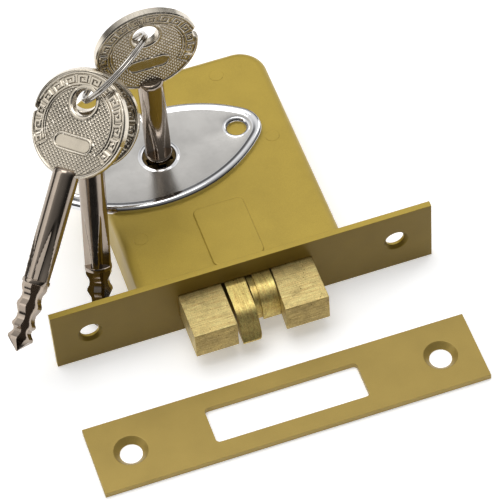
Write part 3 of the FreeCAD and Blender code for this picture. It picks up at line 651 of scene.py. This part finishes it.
def make_ring():
    # circle through the three ring holes
    a = hole_point("lock_key", 0.0)
    b = hole_point("front_key", HUNG_BY)
    c = hole_point("rear_key", HUNG_BY)
    ab, ac = b - a, c - a
    n = ab.cross(ac)
    middle = a + (n.cross(ab) * ac.dot(ac) + ac.cross(n) * ab.dot(ab)) / (2 * n.dot(n))
    rad = (middle - a).length
    n.normalize()
    u = (middle - a).normalized()
    w = n.cross(u)
    bm = bmesh.new()
    rows = []
    for k in range(RING_ROWS + 1):
        t = 4 * math.pi * k / RING_ROWS
        lift = TURN_OFFSET * (2 * step(2 * math.pi - CROSSING, 2 * math.pi + CROSSING, t) - 1)
        out = u * math.cos(t + WIRE_START) + w * math.sin(t + WIRE_START)
        centre = middle + out * rad + n * lift
        wire = WIRE_R * (1.0 if 0 < k < RING_ROWS else 0.55)
        rows.append([bm.verts.new(centre + (out * c + n * s) * wire) for c, s in circle(WIRE_SIDES)])
    grid_faces(bm, rows)
    bm.faces.new(rows[0])
    bm.faces.new(rows[-1])
    mesh = finished_mesh(bm, "split_ring_wire", [WIRE], 60)
    new_object("split_ring_wire", mesh, "ring", "split_ring")


make_ring()


# ---------------------------------------------------------------------------------------------------
# Floor, light, camera
# ---------------------------------------------------------------------------------------------------
FLOOR_HALF, FLOOR_DROP = 3.0, 0.0001


def make_floor():
    s = Shade("floor_paper").set(Roughness=0.9, Specular_IOR_Level=0.1, Emission_Strength=0.34)
    paper = s.ramp(s.noise(3, 2), [(0.3, rgb(0.94, 0.94, 0.94)), (0.7, rgb(0.96, 0.96, 0.96))])
    s.link(paper, s.bsdf.inputs["Base Color"])
    s.link(paper, s.bsdf.inputs["Emission Color"])
    bm = bmesh.new()
    z = cad_low.z - FLOOR_DROP
    corners = ((-1, -1), (1, -1), (1, 1), (-1, 1))
    bm.faces.new([bm.verts.new((x * FLOOR_HALF, y * FLOOR_HALF, z)) for x, y in corners])
    mesh = bpy.data.meshes.new("floor")
    bm.to_mesh(mesh)
    bm.free()
    mesh.materials.append(s.mat)
    obj = bpy.data.objects.new("floor", mesh)
    scene.collection.objects.link(obj)


def soft_box(name, at, target, size, power):
    light = bpy.data.lights.new(name, "AREA")
    light.shape = "RECTANGLE"
    light.size, light.size_y = size
    light.energy = power
    obj = bpy.data.objects.new(name, light)
    scene.collection.objects.link(obj)
    obj.location = at
    obj.rotation_mode = "QUATERNION"
    obj.rotation_quaternion = (target - Vector(at)).to_track_quat("-Z", "Y")


# (place, grey): the room's grey from the floor up, and from the side the lock faces to the rear
WALL = [(0.0, 0.75), (0.47, 0.35), (0.54, 0.10), (0.68, 0.20), (0.82, 0.80), (0.9, 1.0), (1.0, 1.0)]
DEPTH = [(0.0, 0.22), (0.25, 0.28), (0.5, 0.7), (0.75, 1.0), (1.0, 1.0)]


def make_world():
    """White room: bright overhead, greyer walls, a dark band on the side the lock faces."""
    world = bpy.data.worlds.new("studio")
    world.use_nodes = True
    nt = world.node_tree
    back = nt.nodes["Background"]
    coord = nt.nodes.new("ShaderNodeTexCoord")
    split = nt.nodes.new("ShaderNodeSeparateXYZ")
    nt.links.new(coord.outputs["Generated"], split.inputs["Vector"])

    def ramp(socket, stops):
        span = nt.nodes.new("ShaderNodeMapRange")
        span.inputs["From Min"].default_value = -1.0
        span.inputs["From Max"].default_value = 1.0
        nt.links.new(socket, span.inputs["Value"])
        node = nt.nodes.new("ShaderNodeValToRGB")
        marks = node.color_ramp.elements
        marks[0].position, marks[0].color = stops[0][0], rgb(*[stops[0][1]] * 3)
        marks[1].position, marks[1].color = stops[-1][0], rgb(*[stops[-1][1]] * 3)
        for place, grey in stops[1:-1]:
            marks.new(place).color = rgb(*[grey] * 3)
        nt.links.new(span.outputs["Result"], node.inputs["Fac"])
        return node.outputs["Color"]

    height = ramp(split.outputs["Z"], WALL)
    front = ramp(split.outputs["Y"], DEPTH)
    both = nt.nodes.new("ShaderNodeMix")
    both.data_type = "RGBA"
    both.blend_type = "MULTIPLY"
    both.inputs[0].default_value = 1.0
    nt.links.new(height, both.inputs[6])
    nt.links.new(front, both.inputs[7])
    nt.links.new(both.outputs[2], back.inputs["Color"])
    back.inputs["Strength"].default_value = 1.0
    scene.world = world


def make_camera():
    """The photograph's viewing angle, in the CAD's frame."""
    data = bpy.data.cameras.new("photo_camera")
    data.sensor_width = 36.0
    data.lens = 211.255
    data.clip_start = 0.05
    data.clip_end = 20.0
    right = Vector((0.946713, -0.317674, -0.053079))
    up = Vector((0.282787, 0.740976, 0.609086))
    place = Matrix((right, up, right.cross(up))).transposed().to_4x4()
    place.translation = Vector((-0.13147, -0.51457, 0.70498))
    cam = bpy.data.objects.new("photo_camera", data)
    scene.collection.objects.link(cam)
    cam.matrix_world = place
    scene.camera = cam


make_floor()
make_world()
aim = Vector((-0.005, 0.02, 0.0))
soft_box("overhead", (-0.15, 0.1, 1.15), aim, (0.8, 0.8), 5.5)
soft_box("left_high", (-0.95, 0.15, 0.7), aim, (0.6, 0.9), 1.8)
soft_box("right_rear", (0.85, 0.55, 0.6), aim, (0.35, 0.9), 1.6)
make_camera()
scene.view_settings.view_transform = "Standard"
